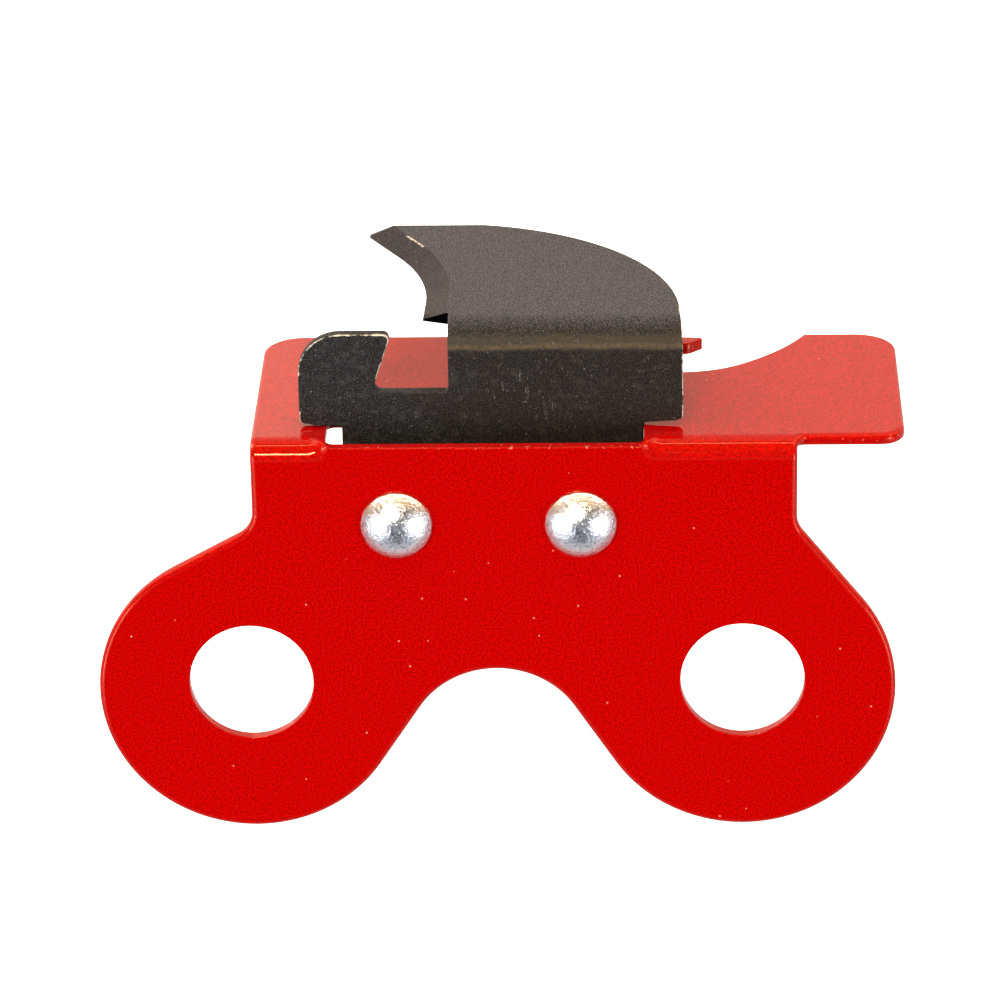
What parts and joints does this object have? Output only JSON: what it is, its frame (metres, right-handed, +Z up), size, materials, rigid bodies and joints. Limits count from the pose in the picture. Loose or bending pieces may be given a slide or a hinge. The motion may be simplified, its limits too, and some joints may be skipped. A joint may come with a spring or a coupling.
{
  "type": "riveted hook bracket",
  "caption": "Folded sheet bracket with round eyes along its lower edge; a hooked blade plate stands up through a slot in its fold, held by dome-head rivets.",
  "frame": {"origin": "under the middle of the assembly's box, level with the lowest point of the two lobes", "axes": "+X along the fold towards the bracket's ear; +Y from the front plate's face towards the flange's back edge; +Z up from the eyes to the blade"},
  "size_m": [0.1008, 0.0426, 0.0663],
  "materials": {
    "red_paint": "glossy red powder coat over steel sheet",
    "black_oxide": "satin black oxide on steel sheet, worn bright along its edges",
    "rivet_metal": "bright, slightly brushed dome"
  },
  "bodies": {
    "root": {"bracket": "red_paint", "hook_plate": "black_oxide", "rivet_left": "rivet_metal", "rivet_right": "rivet_metal"}
  },
  "joints": []
}
